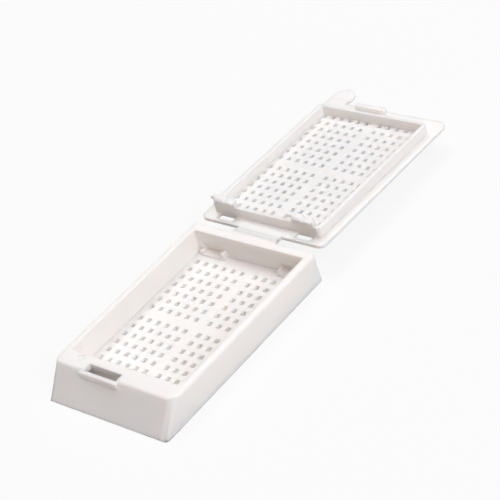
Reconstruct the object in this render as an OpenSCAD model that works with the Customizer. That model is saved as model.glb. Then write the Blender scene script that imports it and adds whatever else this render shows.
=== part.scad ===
// Tissue cassette for histology: a perforated tray with a sloped writing face,
// and a perforated lid that hangs on the same moulding by a thin hinge strip.
// The cassette stands open, with the lid laid back behind the tray, drooping a little.
//
// Origin: underside of the tray, on its centre line, at the middle of the floor's cross rib.
// +X to the right, +Y from the writing face towards the hinge, +Z up. Millimetres.

/* [Tray] */
// Width of the tray over its side walls
tray_w = 27.3; // [26:0.1:30]
// Height of the tray from the underside to the rim
tray_h = 5.5; // [5:0.1:7]
// Length of the chamber at the rim
chamber_l = 32.3; // [31.3:0.1:36]
// Distance from the middle of the chamber forward to the floor's cross rib
rib_ahead = 0.75; // [0.5:0.05:1]
// Thickness of the side walls at the rim
side_wall = 1.35; // [1.2:0.05:1.6]
// Thickness of the back wall under its lip
back_wall = 1.1; // [1:0.05:1.6]
// Overhang of the lip along the top of the back wall
lip_out = 0.65; // [0.3:0.05:1]
// Height of that lip
lip_h = 1.65; // [1:0.05:2.2]
// Thickness of the perforated floor
floor_t = 1.15; // [0.8:0.05:1.4]
// Draft of each chamber wall between rim and floor
draft = 0.15; // [0.05:0.01:0.2]

/* [Writing face] */
// Depth of the level rim in front of the chamber
front_rim = 3.1; // [2.8:0.1:4]
// Run of the sloping face, from the rim to the underside
slope_run = 4.5; // [3.5:0.05:5]
// Wall of the sloping face, measured level
slope_wall = 1.2; // [0.9:0.05:1.5]
// Thickness of the wall between the chamber and the hollow behind the writing face
partition = 1; // [0.8:0.05:1.4]
// Thickness of the rim over that hollow
rim_t = 1.1; // [0.9:0.05:1.4]

/* [Perforation] */
// Side of the square holes in the floor
hole = 0.95; // [0.8:0.01:1.2]
// Distance between holes of the floor
pitch = 2.05; // [1.9:0.01:2.4]
// Width of the plain ribs that cross in the floor and in the lid
rib = 2.1; // [1.8:0.02:2.4]
// Least plain border between the holes and the walls
border = 0.5; // [0.4:0.05:0.6]
// Side of the square holes in the lid
lid_hole = 0.85; // [0.7:0.01:1.05]
// Distance from the centre line to the middle of the lid's long rib
lid_rib_x = 0.3; // [0.25:0.05:1]
// Plain border between the lid's holes and the ends of its frame
lid_border = 0.1; // [0:0.02:0.3]
// Rows of holes on each side of the lid's cross rib
lid_rows = 8; // [7:1:8]

/* [Lid] */
// Thickness of the lid's plate
plate_t = 0.6; // [0.5:0.05:0.8]
// Height of the raised frame above the plate
frame_h = 1.85; // [1.4:0.05:2.2]
// Thickness of the frame along its sides
frame_side = 0.75; // [0.6:0.05:1]
// Thickness of the frame at both ends
frame_end = 0.55; // [0.5:0.05:0.8]
// Play between the frame and the chamber walls when closed
frame_play = 0.24; // [0.2:0.01:0.3]
// Droop of the open lid on its hinge strip, in degrees
lid_sag = 1.7; // [0:0.1:3]

/* [Thumb tab] */
// Width of the tab where it leaves the lid
tab_w = 4.1; // [3.6:0.1:5]
// How far the tab stands out from the lid
tab_out = 4.45; // [3.8:0.05:5.5]
// Distance from the lid's left edge to the middle of the tab
tab_in = 2.15; // [2.1:0.05:4]
// Step down from the lid's face to the tab's lobe
tab_step = 0.12; // [0.05:0.01:0.2]

/* [Hinge] */
// Width of the hinge strip
hinge_w = 9.5; // [8:0.1:11]
// Distance from the lip to the fold line
hinge_reach = 0.9; // [0.7:0.05:1.2]
// Slit between the two halves of the strip, bridged by the film of the fold
fold_slit = 0.2; // [0.1:0.02:0.3]
// Height of the fold line above the rim
fold_rise = 0.05; // [0.03:0.01:0.1]
// Distance from the fold line to the lid's near edge
edge_gap = 0.8; // [0.3:0.05:1]

/* [Hooks and catches] */
// Distance from the chamber's side wall to the middle of each hook and its catch
hook_in = 3.6; // [3.3:0.05:4]
// Width of a hook
hook_w = 4.1; // [3.8:0.05:4.3]
// Height of a hook above the plate
hook_h = 3.4; // [3.3:0.05:3.7]
// Thickness of the hook's blade
hook_t = 0.8; // [0.7:0.05:1]
// Reach of the barb in front of the blade
barb = 0.5; // [0.3:0.05:0.55]
// Height of the barb, and of the nose beside it
barb_h = 0.65; // [0.5:0.05:0.75]
// Reach of the nose beside the hook
nose_out = 1.1; // [0.6:0.05:1.2]
// Play around a hook in its catch
hook_play = 0.15; // [0.1:0.01:0.2]
// Thickness of the catch's two ribs
catch_rib = 0.6; // [0.5:0.05:0.8]
// Height above the floor of the rib that the nose stays clear of
catch_rib_h = 1.4; // [1.2:0.05:1.5]
// Height above the floor of the rib that the nose passes over
low_rib_h = 0.75; // [0.6:0.05:0.75]
// Depth of the ledge between the ribs, from the wall
ledge_d = 1.15; // [0.9:0.05:1.3]
// Height of the ledge above the floor
ledge_h = 0.35; // [0.3:0.05:0.5]

/* [Latch] */
// Length of the latch tongue at the lid's far edge
latch_w = 6.5; // [5:0.1:8]
// Thickness of the tongue
latch_t = 1; // [0.8:0.05:1.1]
// Height of the tongue above the plate
latch_h = 1; // [0.8:0.05:1]
// Distance from the centre line to the middle of the tongue
latch_x = 2.7; // [2:0.05:3]
// Distance from the lid's far edge to the tongue
latch_inset = 0.15; // [0.1:0.05:0.3]
// Play in front of and behind the tongue in its slot
latch_play = 0.3; // [0.15:0.01:0.35]
// Play at each end of the tongue in its slot
latch_end_play = 0.45; // [0.2:0.05:0.6]
// Wall of the lip in front of the slot
slot_lip = 0.75; // [0.6:0.05:0.9]

/* [Edges] */
// Rounding of the rim's outer long edges
edge_r = 0.5; // [0.3:0.05:0.7]
// Rounding between the rim and the sloping face
brow_r = 0.7; // [0.4:0.05:0.9]
// Rounding of the edges along the underside
foot_r = 0.25; // [0.15:0.05:0.3]
// Rounding of the corners beside the sloping face
cheek_r = 1.6; // [1:0.1:2]
// Rounding of the tray's back corners
back_r = 1; // [0.6:0.1:1.2]
// Rounding of the chamber's corners
chamber_r = 0.4; // [0.3:0.1:0.8]
// Rounding of the corners of the lid's frame
frame_r = 0.7; // [0.5:0.1:1]
// Rounding of the lid's near corners
near_r = 1.2; // [0.6:0.1:1.5]
// Rounding of the lid's far corners
far_r = 1.3; // [0.8:0.1:1.5]

/* [Hidden] */
eps = 0.05;
far_out = 60;
white = "#f3f0ec";

// Tray, along Y
chamber_front = chamber_l / 2 - rib_ahead;
chamber_back = chamber_l / 2 + rib_ahead;
rim_front_y = -chamber_front - front_rim;
toe_y = rim_front_y - slope_run;
wall_y = chamber_back + back_wall;
lip_y = wall_y + lip_out;
slope_angle = atan(tray_h / slope_run);
foot_flare = 0.2;
lip_back_r = 0.4;
lip_under_r = 0.2;
chamber_w = tray_w - 2 * side_wall;
chamber_depth = tray_h - floor_t;
draft_slope = draft / chamber_depth;
rim_under = tray_h - rim_t;

// Fold line; the lid's own places run from it along Y
fold_y = lip_y + hinge_reach;
fold_z = tray_h + fold_rise;
frame_near = fold_y - chamber_back + frame_play;
frame_far = fold_y + chamber_front - frame_play;
frame_w = chamber_w - 2 * frame_play;
frame_mid = (frame_near + frame_far) / 2;
frame_half = (frame_far - frame_near) / 2 - frame_end;
frame_in_w = frame_w - 2 * frame_side;
lid_far = fold_y - rim_front_y;
plate_z = tray_h - plate_t;

// Perforation of the floor: its columns are even about the centre line
rib_x = pitch / 2;
first = (rib + hole) / 2;
field_back = chamber_back - draft - ledge_d - border;
field_front = chamber_front - draft - border;
rows = floor((min(field_back, field_front) - rib / 2 - hole) / pitch) + 1;
cols_side = chamber_w / 2 - draft - border - rib / 2 - hole;
cols = [floor((cols_side + rib_x) / pitch) + 1, floor((cols_side - rib_x) / pitch) + 1];

// Perforation of the lid: its rows fill the frame from end to end
lid_pitch = (frame_half - lid_border - rib / 2 - lid_hole) / (lid_rows - 1);
lid_first = (rib + lid_hole) / 2;
lid_side = frame_in_w / 2 - rib / 2 - lid_hole;
lid_cols = [floor((lid_side + lid_rib_x) / lid_pitch) + 1,
    floor((lid_side - lid_rib_x) / lid_pitch) + 1];

// Hook, across its width and up from the plate
hook_x = chamber_w / 2 - hook_in;
nose_r = 0.25;
notch_x = 0.2;
notch_w = 0.9;
notch_d = 0.6;
hump_drop = 0.3;
hump_r = 0.5;
barb_lead = 0.35;
window_l = 1.5;
window_w = hook_w - 0.4;

// Catch at the foot of the back wall
catch_gap = hook_w + 2 * hook_play;
catch_rib_d = ledge_d - 0.15;
rib_round = 0.4;
pocket_top = tray_h + 2 * fold_rise - (hook_h - barb_h) + hook_play;
pocket_y = fold_y - frame_near + barb + hook_play;

// Latch tongue, from the fold line, and its slot in the rim
tongue_far = lid_far - latch_inset;
tongue_near = tongue_far - latch_t;
slot_front = fold_y - tongue_far - latch_play;
slot_back = fold_y - tongue_near + latch_play;
slot_w = latch_w + 2 * latch_end_play;
slot_cheek = 0.5;
slot_depth = 2;
lip_face = slot_front - slot_lip;
lip_top_r = 0.2;

// Shallow round mark of the moulding gate on the front rim
gate_r = 0.8;
gate_d = 0.12;
gate_in = 4.65;
gate_x = tray_w / 2 - gate_in;

// Thumb tab
tab_r = tab_w / 2 + 0.3;
tab_x = tray_w / 2 - tab_in;
tab_root = 1.15;

// Arc of n steps about [cx, cy], from angle a to angle b
function arc(cx, cy, r, a, b, n = 6) =
    [for (i = [0:n]) [cx + r * cos(a + (b - a) * i / n), cy + r * sin(a + (b - a) * i / n)]];

// Side view [y, z], drawn out along X over the width w
module along_x(w, outline) {
    translate([-w / 2, 0, 0]) rotate([90, 0, 90]) linear_extrude(w) polygon(outline);
}

// Front view [x, z], drawn out along Y from y0 to y1
module along_y(y0, y1, outline) {
    translate([0, y1, 0]) rotate([90, 0, 0]) linear_extrude(y1 - y0) polygon(outline);
}

// Rectangle of width w from y0 to y1, with one radius for each end
module rounded(w, y0, y1, r0, r1) {
    translate([-w / 2, y0 + r0]) square([w, y1 - y0 - r0 - r1]);
    translate([-w / 2 + r0, y0]) square([w - 2 * r0, r0 + eps]);
    translate([-w / 2 + r1, y1 - r1 - eps]) square([w - 2 * r1, r1 + eps]);
    for (side = [-1, 1]) {
        translate([side * (w / 2 - r0), y0 + r0]) circle(r0, $fn = 32);
        translate([side * (w / 2 - r1), y1 - r1]) circle(r1, $fn = 32);
    }
}

// Square holes in two blocks of rows, and of columns left and right of a long rib
module perforation(side, step, start, long_rib, n_rows, n_cols, z0, z1) {
    for (end = [-1, 1], row = [0:n_rows - 1], dir = [0, 1], col = [0:n_cols[dir] - 1]) {
        x = long_rib + (2 * dir - 1) * (start + col * step);
        y = end * (start + row * step);
        translate([x - side / 2, y - side / 2, z0]) cube([side, side, z1 - z0]);
    }
}

// Outer form of the tray: side view, front view and the rounded edges of the sloping face
module tray_form() {
    a = slope_angle;
    back = wall_y + foot_flare;
    intersection() {
        along_x(tray_w, concat(
            arc(toe_y + foot_r / tan(a / 2), foot_r, foot_r, 270, 90 + a),
            arc(rim_front_y + brow_r * tan(a / 2), tray_h - brow_r, brow_r, 90 + a, 90),
            arc(lip_y - lip_back_r, tray_h - lip_back_r, lip_back_r, 90, 0),
            arc(lip_y - lip_under_r, tray_h - lip_h + lip_under_r, lip_under_r, 0, -90, 3),
            [[wall_y, tray_h - lip_h]],
            arc(back - foot_r, foot_r, foot_r, 0, -90)));
        along_y(toe_y - 1, lip_y + 1, concat(
            arc(tray_w / 2 - edge_r, tray_h - edge_r, edge_r, 0, 90),
            arc(-tray_w / 2 + edge_r, tray_h - edge_r, edge_r, 90, 180),
            arc(-tray_w / 2 + foot_r, foot_r, foot_r, 180, 270),
            arc(tray_w / 2 - foot_r, foot_r, foot_r, 270, 360)));
        translate([0, toe_y, 0]) rotate([a - 90, 0, 0]) translate([0, 0, -far_out])
            linear_extrude(2 * far_out) rounded(tray_w, 0, far_out, cheek_r, cheek_r);
        translate([0, 0, -1]) linear_extrude(tray_h + 2)
            rounded(tray_w, toe_y - far_out, lip_y, back_r, back_r);
    }
}

// Chamber for the tissue, with a little draft on all four walls
module chamber() {
    over = 1;
    top = tray_h + over;
    out = draft_slope * over;
    intersection() {
        along_x(tray_w, [
            [-chamber_front + draft, floor_t], [chamber_back - draft, floor_t],
            [chamber_back + out, top], [-chamber_front - out, top]]);
        along_y(-chamber_front - over, chamber_back + over, [
            [-chamber_w / 2 + draft, floor_t], [chamber_w / 2 - draft, floor_t],
            [chamber_w / 2 + out, top], [-chamber_w / 2 - out, top]]);
        translate([0, 0, floor_t - eps]) linear_extrude(top)
            rounded(chamber_w, -chamber_front, chamber_back, chamber_r, chamber_r);
    }
}

// Hollow behind the writing face, open below
module front_hollow() {
    inner = toe_y + slope_wall;
    lean = slope_run / tray_h;
    back = -chamber_front - partition;
    along_x(chamber_w, [
        [inner - lean * eps, -eps], [back, -eps],
        [back, rim_under], [inner + lean * rim_under, rim_under]]);
}

// Lip that bulges from the sloping face and closes the latch slot
module slot_lip_form() {
    low = (lip_face - toe_y) * tan(slope_angle) - eps;
    translate([-latch_x, 0, 0]) along_x(slot_w + 2 * slot_cheek, concat(
        arc(lip_face + lip_top_r, tray_h - lip_top_r, lip_top_r, 180, 90, 4),
        [[slot_front + eps, tray_h], [slot_front + eps, low], [lip_face, low]]));
}

// Catch for one hook: a low ledge between two upright ribs at the foot of the back wall
module catch() {
    root = chamber_back;
    base = floor_t - eps;
    rib_front = chamber_back - draft - catch_rib_d;
    translate([-catch_gap / 2 - eps, root - draft - ledge_d, base])
        cube([catch_gap + 2 * eps, ledge_d + draft, ledge_h + eps]);
    for (side = [-1, 1]) {
        rib_top = floor_t + (side < 0 ? low_rib_h : catch_rib_h);
        translate([side * (catch_gap + catch_rib) / 2, 0, 0]) along_x(catch_rib, concat(
            [[root, base], [rib_front, base]],
            arc(rib_front + rib_round, rib_top - rib_round, rib_round, 180, 90),
            [[root, rib_top]]));
    }
}

// Blind pocket in the back wall that takes the hook's barb
module catch_pocket() {
    low = floor_t + ledge_h;
    translate([-catch_gap / 2, chamber_back - draft - eps, low])
        cube([catch_gap, pocket_y - chamber_back + draft + eps, pocket_top - low]);
}

module cassette_base() {
    color(white) difference() {
        union() {
            difference() {
                union() {
                    tray_form();
                    slot_lip_form();
                }
                chamber();
                front_hollow();
            }
            for (side = [-1, 1]) translate([side * hook_x, 0, 0]) catch();
            translate([-hinge_w / 2, lip_y - lip_back_r, plate_z])
                cube([hinge_w, hinge_reach + lip_back_r - fold_slit / 2, plate_t]);
        }
        perforation(hole, pitch, first, rib_x, rows, cols, -eps, floor_t + eps);
        for (side = [-1, 1]) translate([side * hook_x, 0, 0]) catch_pocket();
        translate([-latch_x - slot_w / 2, slot_front, tray_h - slot_depth])
            cube([slot_w, slot_back - slot_front, slot_depth + eps]);
        translate([-gate_x, rim_front_y + front_rim * 0.6, tray_h - gate_d])
            cylinder(h = gate_d + eps, r = gate_r, $fn = 32);
    }
}

// Outline of the lid's plate, from the fold line, with its thumb tab
module plate_outline() {
    rounded(tray_w, edge_gap, lid_far, near_r, far_r);
    translate([-hinge_w / 2, fold_slit / 2]) square([hinge_w, frame_near]);
    translate([-tab_x - tab_w / 2, lid_far - far_r - eps])
        square([tab_w, far_r + eps + tab_out - tab_r]);
    translate([-tab_x, lid_far + tab_out - tab_r]) circle(tab_r, $fn = 64);
}

// Front view of a hook: a square left shoulder, a notch and a lower hump
module hook_outline() {
    half = hook_w / 2;
    hump = hook_h - hump_drop;
    polygon(concat(
        [[half, -eps], [-half, -eps], [-half, hook_h]],
        [[notch_x - notch_w / 2, hook_h], [notch_x, hook_h - notch_d], [notch_x + notch_w / 2, hump]],
        arc(half - hump_r, hump - hump_r, hump_r, 90, 0)));
}

// Hook: a blade with a barb in front along its top, and a nose that overhangs to the left
module hook() {
    low = hook_h - barb_h;
    tip = -hook_w / 2 - nose_out;
    intersection() {
        translate([0, hook_t, 0]) rotate([90, 0, 0]) linear_extrude(hook_t + barb) hook_outline();
        along_x(hook_w + 1, [
            [hook_t, -1], [hook_t, hook_h + 1], [-barb + barb_lead, hook_h + 1],
            [-barb + barb_lead, hook_h], [-barb, hook_h - barb_lead], [-barb, low],
            [0, low], [0, -1]]);
    }
    translate([0, hook_t, 0]) rotate([90, 0, 0]) linear_extrude(hook_t) polygon(concat(
        [[-hook_w / 2 + eps, hook_h]],
        arc(tip + nose_r, hook_h - nose_r, nose_r, 90, 180),
        arc(tip + nose_r, low + nose_r, nose_r, 180, 270),
        [[-hook_w / 2 + eps, low]]));
}

// The lid's place: turned down about the fold line by its droop
module laid_open() {
    translate([0, fold_y, fold_z]) rotate([-lid_sag, 0, 0])
        translate([0, 0, plate_z - fold_z]) children();
}

module cassette_lid() {
    color(white) laid_open() difference() {
        union() {
            linear_extrude(plate_t) plate_outline();
            translate([0, 0, plate_t - eps]) linear_extrude(frame_h + eps) difference() {
                rounded(frame_w, frame_near, frame_far, frame_r, frame_r);
                translate([-frame_in_w / 2, frame_near + frame_end])
                    square([frame_in_w, 2 * frame_half]);
            }
            for (side = [-1, 1])
                translate([side * hook_x, frame_near, plate_t]) hook();
            translate([-latch_x - latch_w / 2, tongue_near, plate_t - eps])
                cube([latch_w, latch_t, latch_h + eps]);
        }
        translate([0, frame_mid, 0]) perforation(lid_hole, lid_pitch, lid_first, lid_rib_x,
            lid_rows, lid_cols, -eps, plate_t + eps);
        for (side = [-1, 1])
            translate([side * hook_x - window_w / 2, frame_near - window_l, -eps])
                cube([window_w, window_l, plate_t + 2 * eps]);
        translate([-tab_x - tab_r - 1, lid_far + tab_root, plate_t - tab_step])
            cube([2 * tab_r + 2, tab_out, tab_step + eps]);
    }
}

cassette_base();
cassette_lid();
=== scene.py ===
import math

import bmesh
import bpy
from mathutils import Matrix, Vector


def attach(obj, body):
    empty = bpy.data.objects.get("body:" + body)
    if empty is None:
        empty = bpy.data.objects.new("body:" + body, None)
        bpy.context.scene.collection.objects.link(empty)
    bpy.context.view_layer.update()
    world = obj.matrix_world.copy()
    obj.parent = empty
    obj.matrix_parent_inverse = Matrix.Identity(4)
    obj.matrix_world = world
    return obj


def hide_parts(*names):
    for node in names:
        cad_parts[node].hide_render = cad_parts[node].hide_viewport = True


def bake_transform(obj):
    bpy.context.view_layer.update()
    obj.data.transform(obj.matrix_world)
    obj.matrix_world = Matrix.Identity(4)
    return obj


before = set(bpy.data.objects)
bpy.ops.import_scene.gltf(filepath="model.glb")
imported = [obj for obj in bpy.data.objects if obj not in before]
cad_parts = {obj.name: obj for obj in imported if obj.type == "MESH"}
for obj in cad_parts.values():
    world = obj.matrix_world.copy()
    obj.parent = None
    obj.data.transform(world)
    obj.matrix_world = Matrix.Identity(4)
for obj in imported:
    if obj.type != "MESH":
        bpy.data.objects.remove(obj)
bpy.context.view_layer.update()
scene = bpy.context.scene

# ---- Tray ------------------------------------------------------------------------------------
# The tray and its sloped writing face, in white acetal (polyoxymethylene), shot in one steel
# mould together with the lid. A field of square pins with a little draft stands in the mould and
# leaves the holes of the floor, in four blocks beside two plain ribs that cross.

MM = 0.001
floor_top = 1.15
one_point = 0.006 * MM  # corners nearer to each other than this are one corner
pin_past = 0.1  # how far a pin stands out past each face that it pierces
pin_corner = 0.7  # the flat share of a pin's side; the rest is cut off at its corners


def linear(hex_colour, alpha=1.0):
    parts = [int(hex_colour[i:i + 2], 16) / 255 for i in (1, 3, 5)]
    return [c / 12.92 if c <= 0.04045 else ((c + 0.055) / 1.055) ** 2.4 for c in parts] + [alpha]


def node(tree, kind, inputs=None, **settings):
    made = tree.nodes.new(kind)
    for name, value in settings.items():
        setattr(made, name, value)
    for name, value in (inputs or {}).items():
        if isinstance(value, bpy.types.NodeSocket):
            tree.links.new(value, made.inputs[name])
        else:
            made.inputs[name].default_value = value
    return made


# Natural white acetal, moulded against spark-eroded steel: a satin face, a little waxy, open to the
# light for about a millimetre, so that thin ribs and edges glow and shadows stay warm. The grain
# of the steel is 0.05 mm; at 3500 to the metre it is drawn nearly six times as coarse, or it would
# not show. The melt clouds its white by a shade every 5.6 mm, which is 180 to the metre. Each edge
# has the small radius of the mould's cutter.
grains_per_metre = 3500.0
clouds_per_metre = 180.0
cutter_radius = 0.22 * MM

acetal = bpy.data.materials.new("white_moulded_acetal")
acetal.use_nodes = True
tree = acetal.node_tree
tree.nodes.clear()
place = node(tree, "ShaderNodeTexCoord").outputs["Object"]
grain = node(tree, "ShaderNodeTexNoise",
             {"Vector": place, "Scale": grains_per_metre, "Detail": 3.0, "Roughness": 0.6})
cloud = node(tree, "ShaderNodeTexNoise",
             {"Vector": place, "Scale": clouds_per_metre, "Detail": 2.0})
tint = node(tree, "ShaderNodeMix",
            {"Factor": cloud.outputs["Fac"], "A": linear("#f6f4f1"), "B": linear("#f2efeb")},
            data_type="RGBA")
satin = node(tree, "ShaderNodeMapRange",
             {"Value": grain.outputs["Fac"], "To Min": 0.38, "To Max": 0.52})
edge = node(tree, "ShaderNodeBevel", {"Radius": cutter_radius}, samples=8)
relief = node(tree, "ShaderNodeBump",
              {"Height": grain.outputs["Fac"], "Normal": edge.outputs["Normal"],
               "Strength": 0.12, "Distance": 0.02 * MM})
skin = node(tree, "ShaderNodeBsdfPrincipled",
            {"Base Color": tint.outputs["Result"], "Roughness": satin.outputs["Result"],
             "Normal": relief.outputs["Normal"], "IOR": 1.48, "Subsurface Weight": 1.0,
             "Subsurface Radius": (1.0, 0.85, 0.75), "Subsurface Scale": 1.4 * MM})
node(tree, "ShaderNodeOutputMaterial", {"Surface": skin.outputs["BSDF"]})


def placed(name, data):
    made = bpy.data.objects.new(name, data)
    scene.collection.objects.link(made)
    return made


def filled(mesh, bm):
    bm.to_mesh(mesh)
    bm.free()
    return mesh


def merged_copy(cad_node, name, laid=Matrix()):
    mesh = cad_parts[cad_node].data.copy()
    mesh.name = name
    mesh.transform(laid.inverted())
    # A face that is turned level comes out askew by a hair, and the plug has to meet it flush,
    # so heights are rounded to a ten-thousandth of a millimetre.
    for v in mesh.vertices:
        v.co.z = round(v.co.z, 7)
    mesh.materials.clear()
    mesh.materials.append(acetal)
    bm = bmesh.new()
    bm.from_mesh(mesh)
    bmesh.ops.remove_doubles(bm, verts=bm.verts, dist=one_point)
    return placed(name, filled(mesh, bm))


def make_plain(piece):
    depsgraph = bpy.context.evaluated_depsgraph_get()
    solid = bpy.data.meshes.new_from_object(piece.evaluated_get(depsgraph))
    piece.modifiers.clear()
    piece.data = solid


# The solid's own holes have no draft: a slab fills them, and the pins then pierce it
def plug_holes(piece, low, high):
    bm = bmesh.new()
    bmesh.ops.create_cube(bm, size=1)
    for v in bm.verts:
        v.co = Vector([(a + b) / 2 + c * (b - a) for a, b, c in zip(low, high, v.co)])
    plug = placed("plug", filled(bpy.data.meshes.new("plug"), bm))
    join = piece.modifiers.new("plug", "BOOLEAN")
    join.operation = "UNION"
    join.solver = "EXACT"
    join.object = plug
    bpy.context.view_layer.update()
    make_plain(piece)
    bpy.data.objects.remove(plug)
    bm = bmesh.new()
    bm.from_mesh(piece.data)
    bmesh.ops.remove_doubles(bm, verts=bm.verts, dist=one_point)
    bmesh.ops.dissolve_limit(bm, angle_limit=math.radians(0.5), verts=bm.verts, edges=bm.edges)
    filled(piece.data, bm)


def lofted(name, outlines):
    bm = bmesh.new()
    rings = [[bm.verts.new([c * MM for c in point]) for point in outline] for outline in outlines]
    for near, far in zip(rings, rings[1:]):
        for i in range(len(near)):
            j = (i + 1) % len(near)
            bm.faces.new((near[i], near[j], far[j], far[i]))
    bm.faces.new(rings[0][::-1])
    bm.faces.new(rings[-1])
    bmesh.ops.recalc_face_normals(bm, faces=bm.faces)
    return placed(name, filled(bpy.data.meshes.new(name), bm))


def pin(name, top, foot, low, high):
    outlines = []
    for z in (low - pin_past, high + pin_past):
        half = (foot + (top - foot) * (z - low) / (high - low)) / 2
        near = pin_corner * half
        outlines.append([(half, -near, z), (half, near, z), (near, half, z), (-near, half, z),
                         (-half, near, z), (-half, -near, z), (-near, -half, z), (near, -half, z)])
    return lofted(name, outlines)


perforation = bpy.data.node_groups.new("square_perforation", "GeometryNodeTree")
socket = {}
for label, kind in (("Geometry", "Geometry"), ("Pin", "Object"), ("Finish", "Material"),
                    ("Pitch", "Float"), ("First", "Float"), ("Rib X", "Float"),
                    ("Middle Y", "Float"), ("Left", "Int"), ("Right", "Int"), ("Rows", "Int")):
    socket[label] = perforation.interface.new_socket(label, in_out="INPUT",
                                                     socket_type="NodeSocket" + kind)
perforation.interface.new_socket("Geometry", in_out="OUTPUT", socket_type="NodeSocketGeometry")
given = node(perforation, "NodeGroupInput").outputs


def scaled(a, by, plus=0.0):
    return node(perforation, "ShaderNodeMath", {0: a, 1: by, 2: plus},
                operation="MULTIPLY_ADD").outputs[0]


def span_and_centre(count, way, rib):
    span = scaled(scaled(count, 1.0, -1.0), given["Pitch"])
    return span, scaled(scaled(span, 0.5, given["First"]), way, rib)


# Each block of pins is a grid of points, set out from the two ribs that cross between them
points = node(perforation, "GeometryNodeJoinGeometry")
for columns, side in ((given["Left"], -1.0), (given["Right"], 1.0)):
    for end in (-1.0, 1.0):
        wide, x = span_and_centre(columns, side, given["Rib X"])
        deep, y = span_and_centre(given["Rows"], end, given["Middle Y"])
        centre = node(perforation, "ShaderNodeCombineXYZ", {"X": x, "Y": y})
        grid = node(perforation, "GeometryNodeMeshGrid",
                    {"Size X": wide, "Size Y": deep,
                     "Vertices X": columns, "Vertices Y": given["Rows"]})
        block = node(perforation, "GeometryNodeTransform",
                     {"Geometry": grid.outputs["Mesh"], "Translation": centre.outputs["Vector"]})
        perforation.links.new(block.outputs["Geometry"], points.inputs["Geometry"])
shape = node(perforation, "GeometryNodeObjectInfo", {"Object": given["Pin"]})
pins = node(perforation, "GeometryNodeInstanceOnPoints",
            {"Points": points.outputs["Geometry"], "Instance": shape.outputs["Geometry"]})
solid_pins = node(perforation, "GeometryNodeRealizeInstances",
                  {"Geometry": pins.outputs["Instances"]})
pierced = node(perforation, "GeometryNodeMeshBoolean",
               {"Mesh 1": given["Geometry"], "Mesh 2": solid_pins.outputs["Geometry"]},
               operation="DIFFERENCE", solver="MANIFOLD")
whole = node(perforation, "GeometryNodeRealizeInstances", {"Geometry": pierced.outputs["Mesh"]})
dressed = node(perforation, "GeometryNodeSetMaterial",
               {"Geometry": whole.outputs["Geometry"], "Material": given["Finish"]})
node(perforation, "NodeGroupOutput", {"Geometry": dressed.outputs["Geometry"]})


def pierce(piece, tool, **sizes):
    holes = piece.modifiers.new("perforation", "NODES")
    holes.node_group = perforation
    for label, value in {"Pin": tool, "Finish": acetal, **sizes}.items():
        holes[socket[label.replace("_", " ")].identifier] = value
    make_plain(piece)
    bpy.data.objects.remove(tool)


tray = merged_copy("cassette_base", "tray")
plug_holes(tray, low=(-12.0 * MM, -14.9 * MM, 0), high=(12.0 * MM, 15.3 * MM, floor_top * MM))
pierce(tray, pin("tray_pin", top=0.95, foot=0.75, low=0, high=floor_top),
       Pitch=2.05 * MM, First=1.525 * MM, Rib_X=1.025 * MM, Middle_Y=0.0, Left=6, Right=5, Rows=7)
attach(tray, "base")
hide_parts("cassette_base")

# ---- Lid -------------------------------------------------------------------------------------
# Plate, raised frame, hooks, latch tongue and thumb tab, from the same shot of acetal as the tray.
# It lies back behind the tray and droops a little on the hinge strip; its holes run square
# through the plate, so they are made with the lid turned level and then turned with it.

fold_y, fold_z, droop = 19.55 * MM, 5.55 * MM, math.radians(1.7)
plate_low, plate_high = -0.65, -0.05

laid = Matrix.Translation((0, fold_y, fold_z)) @ Matrix.Rotation(-droop, 4, "X")
lid = merged_copy("cassette_lid", "lid", laid)
plug_holes(lid, low=(-11.4 * MM, 3.2 * MM, plate_low * MM),
           high=(11.4 * MM, 34.5 * MM, plate_high * MM))
pierce(lid, pin("lid_pin", top=0.85, foot=0.7, low=plate_low, high=plate_high),
       Pitch=13.36 / 7 * MM, First=1.475 * MM, Rib_X=0.3 * MM, Middle_Y=18.8 * MM,
       Left=6, Right=5, Rows=8)
lid.data.transform(laid)
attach(lid, "lid")
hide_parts("cassette_lid")

# ---- Hinge film ------------------------------------------------------------------------------
# The strip between tray and lid thins to a film of a quarter of a millimetre where it folds. It is
# the same shot of acetal, flush with both halves of the strip and rooted inside them.

film_width = 9.46
film_steps = 24
film_outline = [(18.3, 4.95), (19.4, 4.95), (19.46, 5.26), (19.64, 5.26), (19.7, 4.93),
                (20.8, 4.92), (20.8, 5.4), (19.85, 5.494), (19.65, 5.502), (19.55, 5.505),
                (19.45, 5.505), (19.25, 5.503), (18.3, 5.42)]

film = lofted("hinge_film", [[(film_width * (i / film_steps - 0.5), y, z) for y, z in film_outline]
                             for i in range(film_steps + 1)])

# The same acetal. Most light that enters so small a piece would be lost in the ends of the strip,
# which in the moulding it crosses, so less than half of it wanders here.
thin_acetal = acetal.copy()
thin_acetal.name = "white_acetal_film"
thin_acetal.node_tree.nodes[skin.name].inputs["Subsurface Weight"].default_value = 0.45
film.data.materials.append(thin_acetal)
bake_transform(film)

# ---- Table, light and camera -----------------------------------------------------------------
# A plain white table under a white backdrop, a low softbox on the right, a high one behind and a
# weaker, warmer one in front, and a faint warm fill from the room.

table_half = 2
softbox_across = 0.8
softbox_away = 1.2


# Camera, gloss and clear things see table and backdrop as white. To the light that bounces between
# matt faces the table is a plain board, and beyond it there is only the faint fill.
def rays_that_see(tree):
    ray = node(tree, "ShaderNodeLightPath").outputs
    seen = node(tree, "ShaderNodeMath", {0: ray["Is Camera Ray"], 1: ray["Is Glossy Ray"]},
                operation="MAXIMUM")
    return node(tree, "ShaderNodeMath", {0: seen.outputs[0], 1: ray["Is Transmission Ray"]},
                operation="MAXIMUM").outputs[0]


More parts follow.
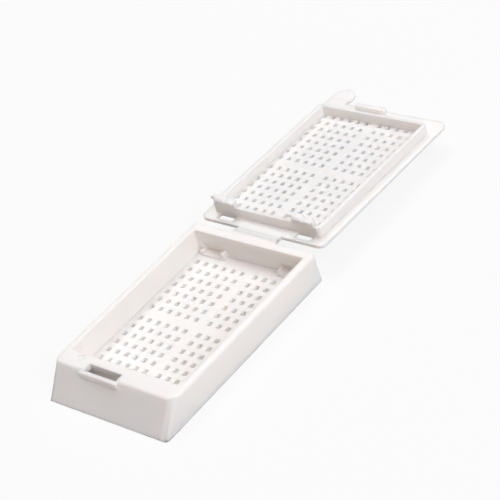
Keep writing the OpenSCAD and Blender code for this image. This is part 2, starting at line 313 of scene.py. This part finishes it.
# Matt white board, close to pure white to the camera, with a soft shadow left on it
tabletop = bpy.data.meshes.new("table")
tabletop.from_pydata([(x * table_half, y * table_half, 0)
                      for x, y in ((-1, -1), (1, -1), (1, 1), (-1, 1))], [], [(0, 1, 2, 3)])
table = placed("table", tabletop)
white = bpy.data.materials.new("white_table")
white.use_nodes = True
tree = white.node_tree
tree.nodes.clear()
board = node(tree, "ShaderNodeBsdfDiffuse", {"Color": linear("#e7e7e7")})
glow = node(tree, "ShaderNodeEmission", {"Color": linear("#ffffff"), "Strength": 1.0})
share = node(tree, "ShaderNodeMath", {0: rays_that_see(tree), 1: 0.86}, operation="MULTIPLY")
mixed = node(tree, "ShaderNodeMixShader",
             {0: share.outputs[0], 1: board.outputs["BSDF"], 2: glow.outputs["Emission"]})
node(tree, "ShaderNodeOutputMaterial", {"Surface": mixed.outputs["Shader"]})
tabletop.materials.append(white)

world = bpy.data.worlds.new("room")
scene.world = world
world.use_nodes = True
tree = world.node_tree
tree.nodes.clear()
fill = node(tree, "ShaderNodeBackground", {"Color": (1, 0.45, 0.35, 1), "Strength": 0.03})
backdrop = node(tree, "ShaderNodeBackground", {"Color": linear("#ffffff"), "Strength": 1.0})
either = node(tree, "ShaderNodeMixShader",
              {0: rays_that_see(tree), 1: fill.outputs["Background"],
               2: backdrop.outputs["Background"]})
node(tree, "ShaderNodeOutputWorld", {"Surface": either.outputs["Shader"]})


def lamp(name, watts, azimuth, elevation, tone):
    data = bpy.data.lights.new(name, "AREA")
    data.shape = "DISK"
    data.size = softbox_across
    data.energy = watts
    data.color = tone
    made = placed(name, data)
    a, e = math.radians(azimuth), math.radians(elevation)
    towards = Vector((math.sin(a) * math.cos(e), math.cos(a) * math.cos(e), math.sin(e)))
    made.location = towards * softbox_away + Vector((0, 17 * MM, 0))
    made.rotation_euler = towards.to_track_quat("Z", "Y").to_euler()


lamp("side_softbox", watts=7.8, azimuth=90, elevation=35, tone=(0.88, 0.94, 1.0))
lamp("back_softbox", watts=8.9, azimuth=315, elevation=62, tone=(0.98, 1.0, 1.0))
lamp("front_softbox", watts=4.1, azimuth=135, elevation=62, tone=(1.0, 0.8, 0.76))

# The camera stands in front and on the right, looks down at the cassette, and is rolled
aim = Vector((-0.36, 17.3, 3.68)) * MM
distance = 304.8 * MM
azimuth, elevation, roll = (math.radians(a) for a in (50.81, 34.71, 20.24))
back = Vector((math.sin(azimuth) * math.cos(elevation), -math.cos(azimuth) * math.cos(elevation),
               math.sin(elevation)))
right = Vector((math.cos(azimuth), math.sin(azimuth), 0))
up = back.cross(right)
turned_right = right * math.cos(roll) - up * math.sin(roll)
turned_up = right * math.sin(roll) + up * math.cos(roll)
view = bpy.data.cameras.new("camera")
view.sensor_width = 36
view.lens = 130.15
view.clip_start = 0.01
camera = placed("camera", view)
turn = Matrix((turned_right, turned_up, back)).transposed()
camera.matrix_world = Matrix.Translation(aim + back * distance) @ turn.to_4x4()
scene.camera = camera
scene.view_settings.view_transform = "Standard"
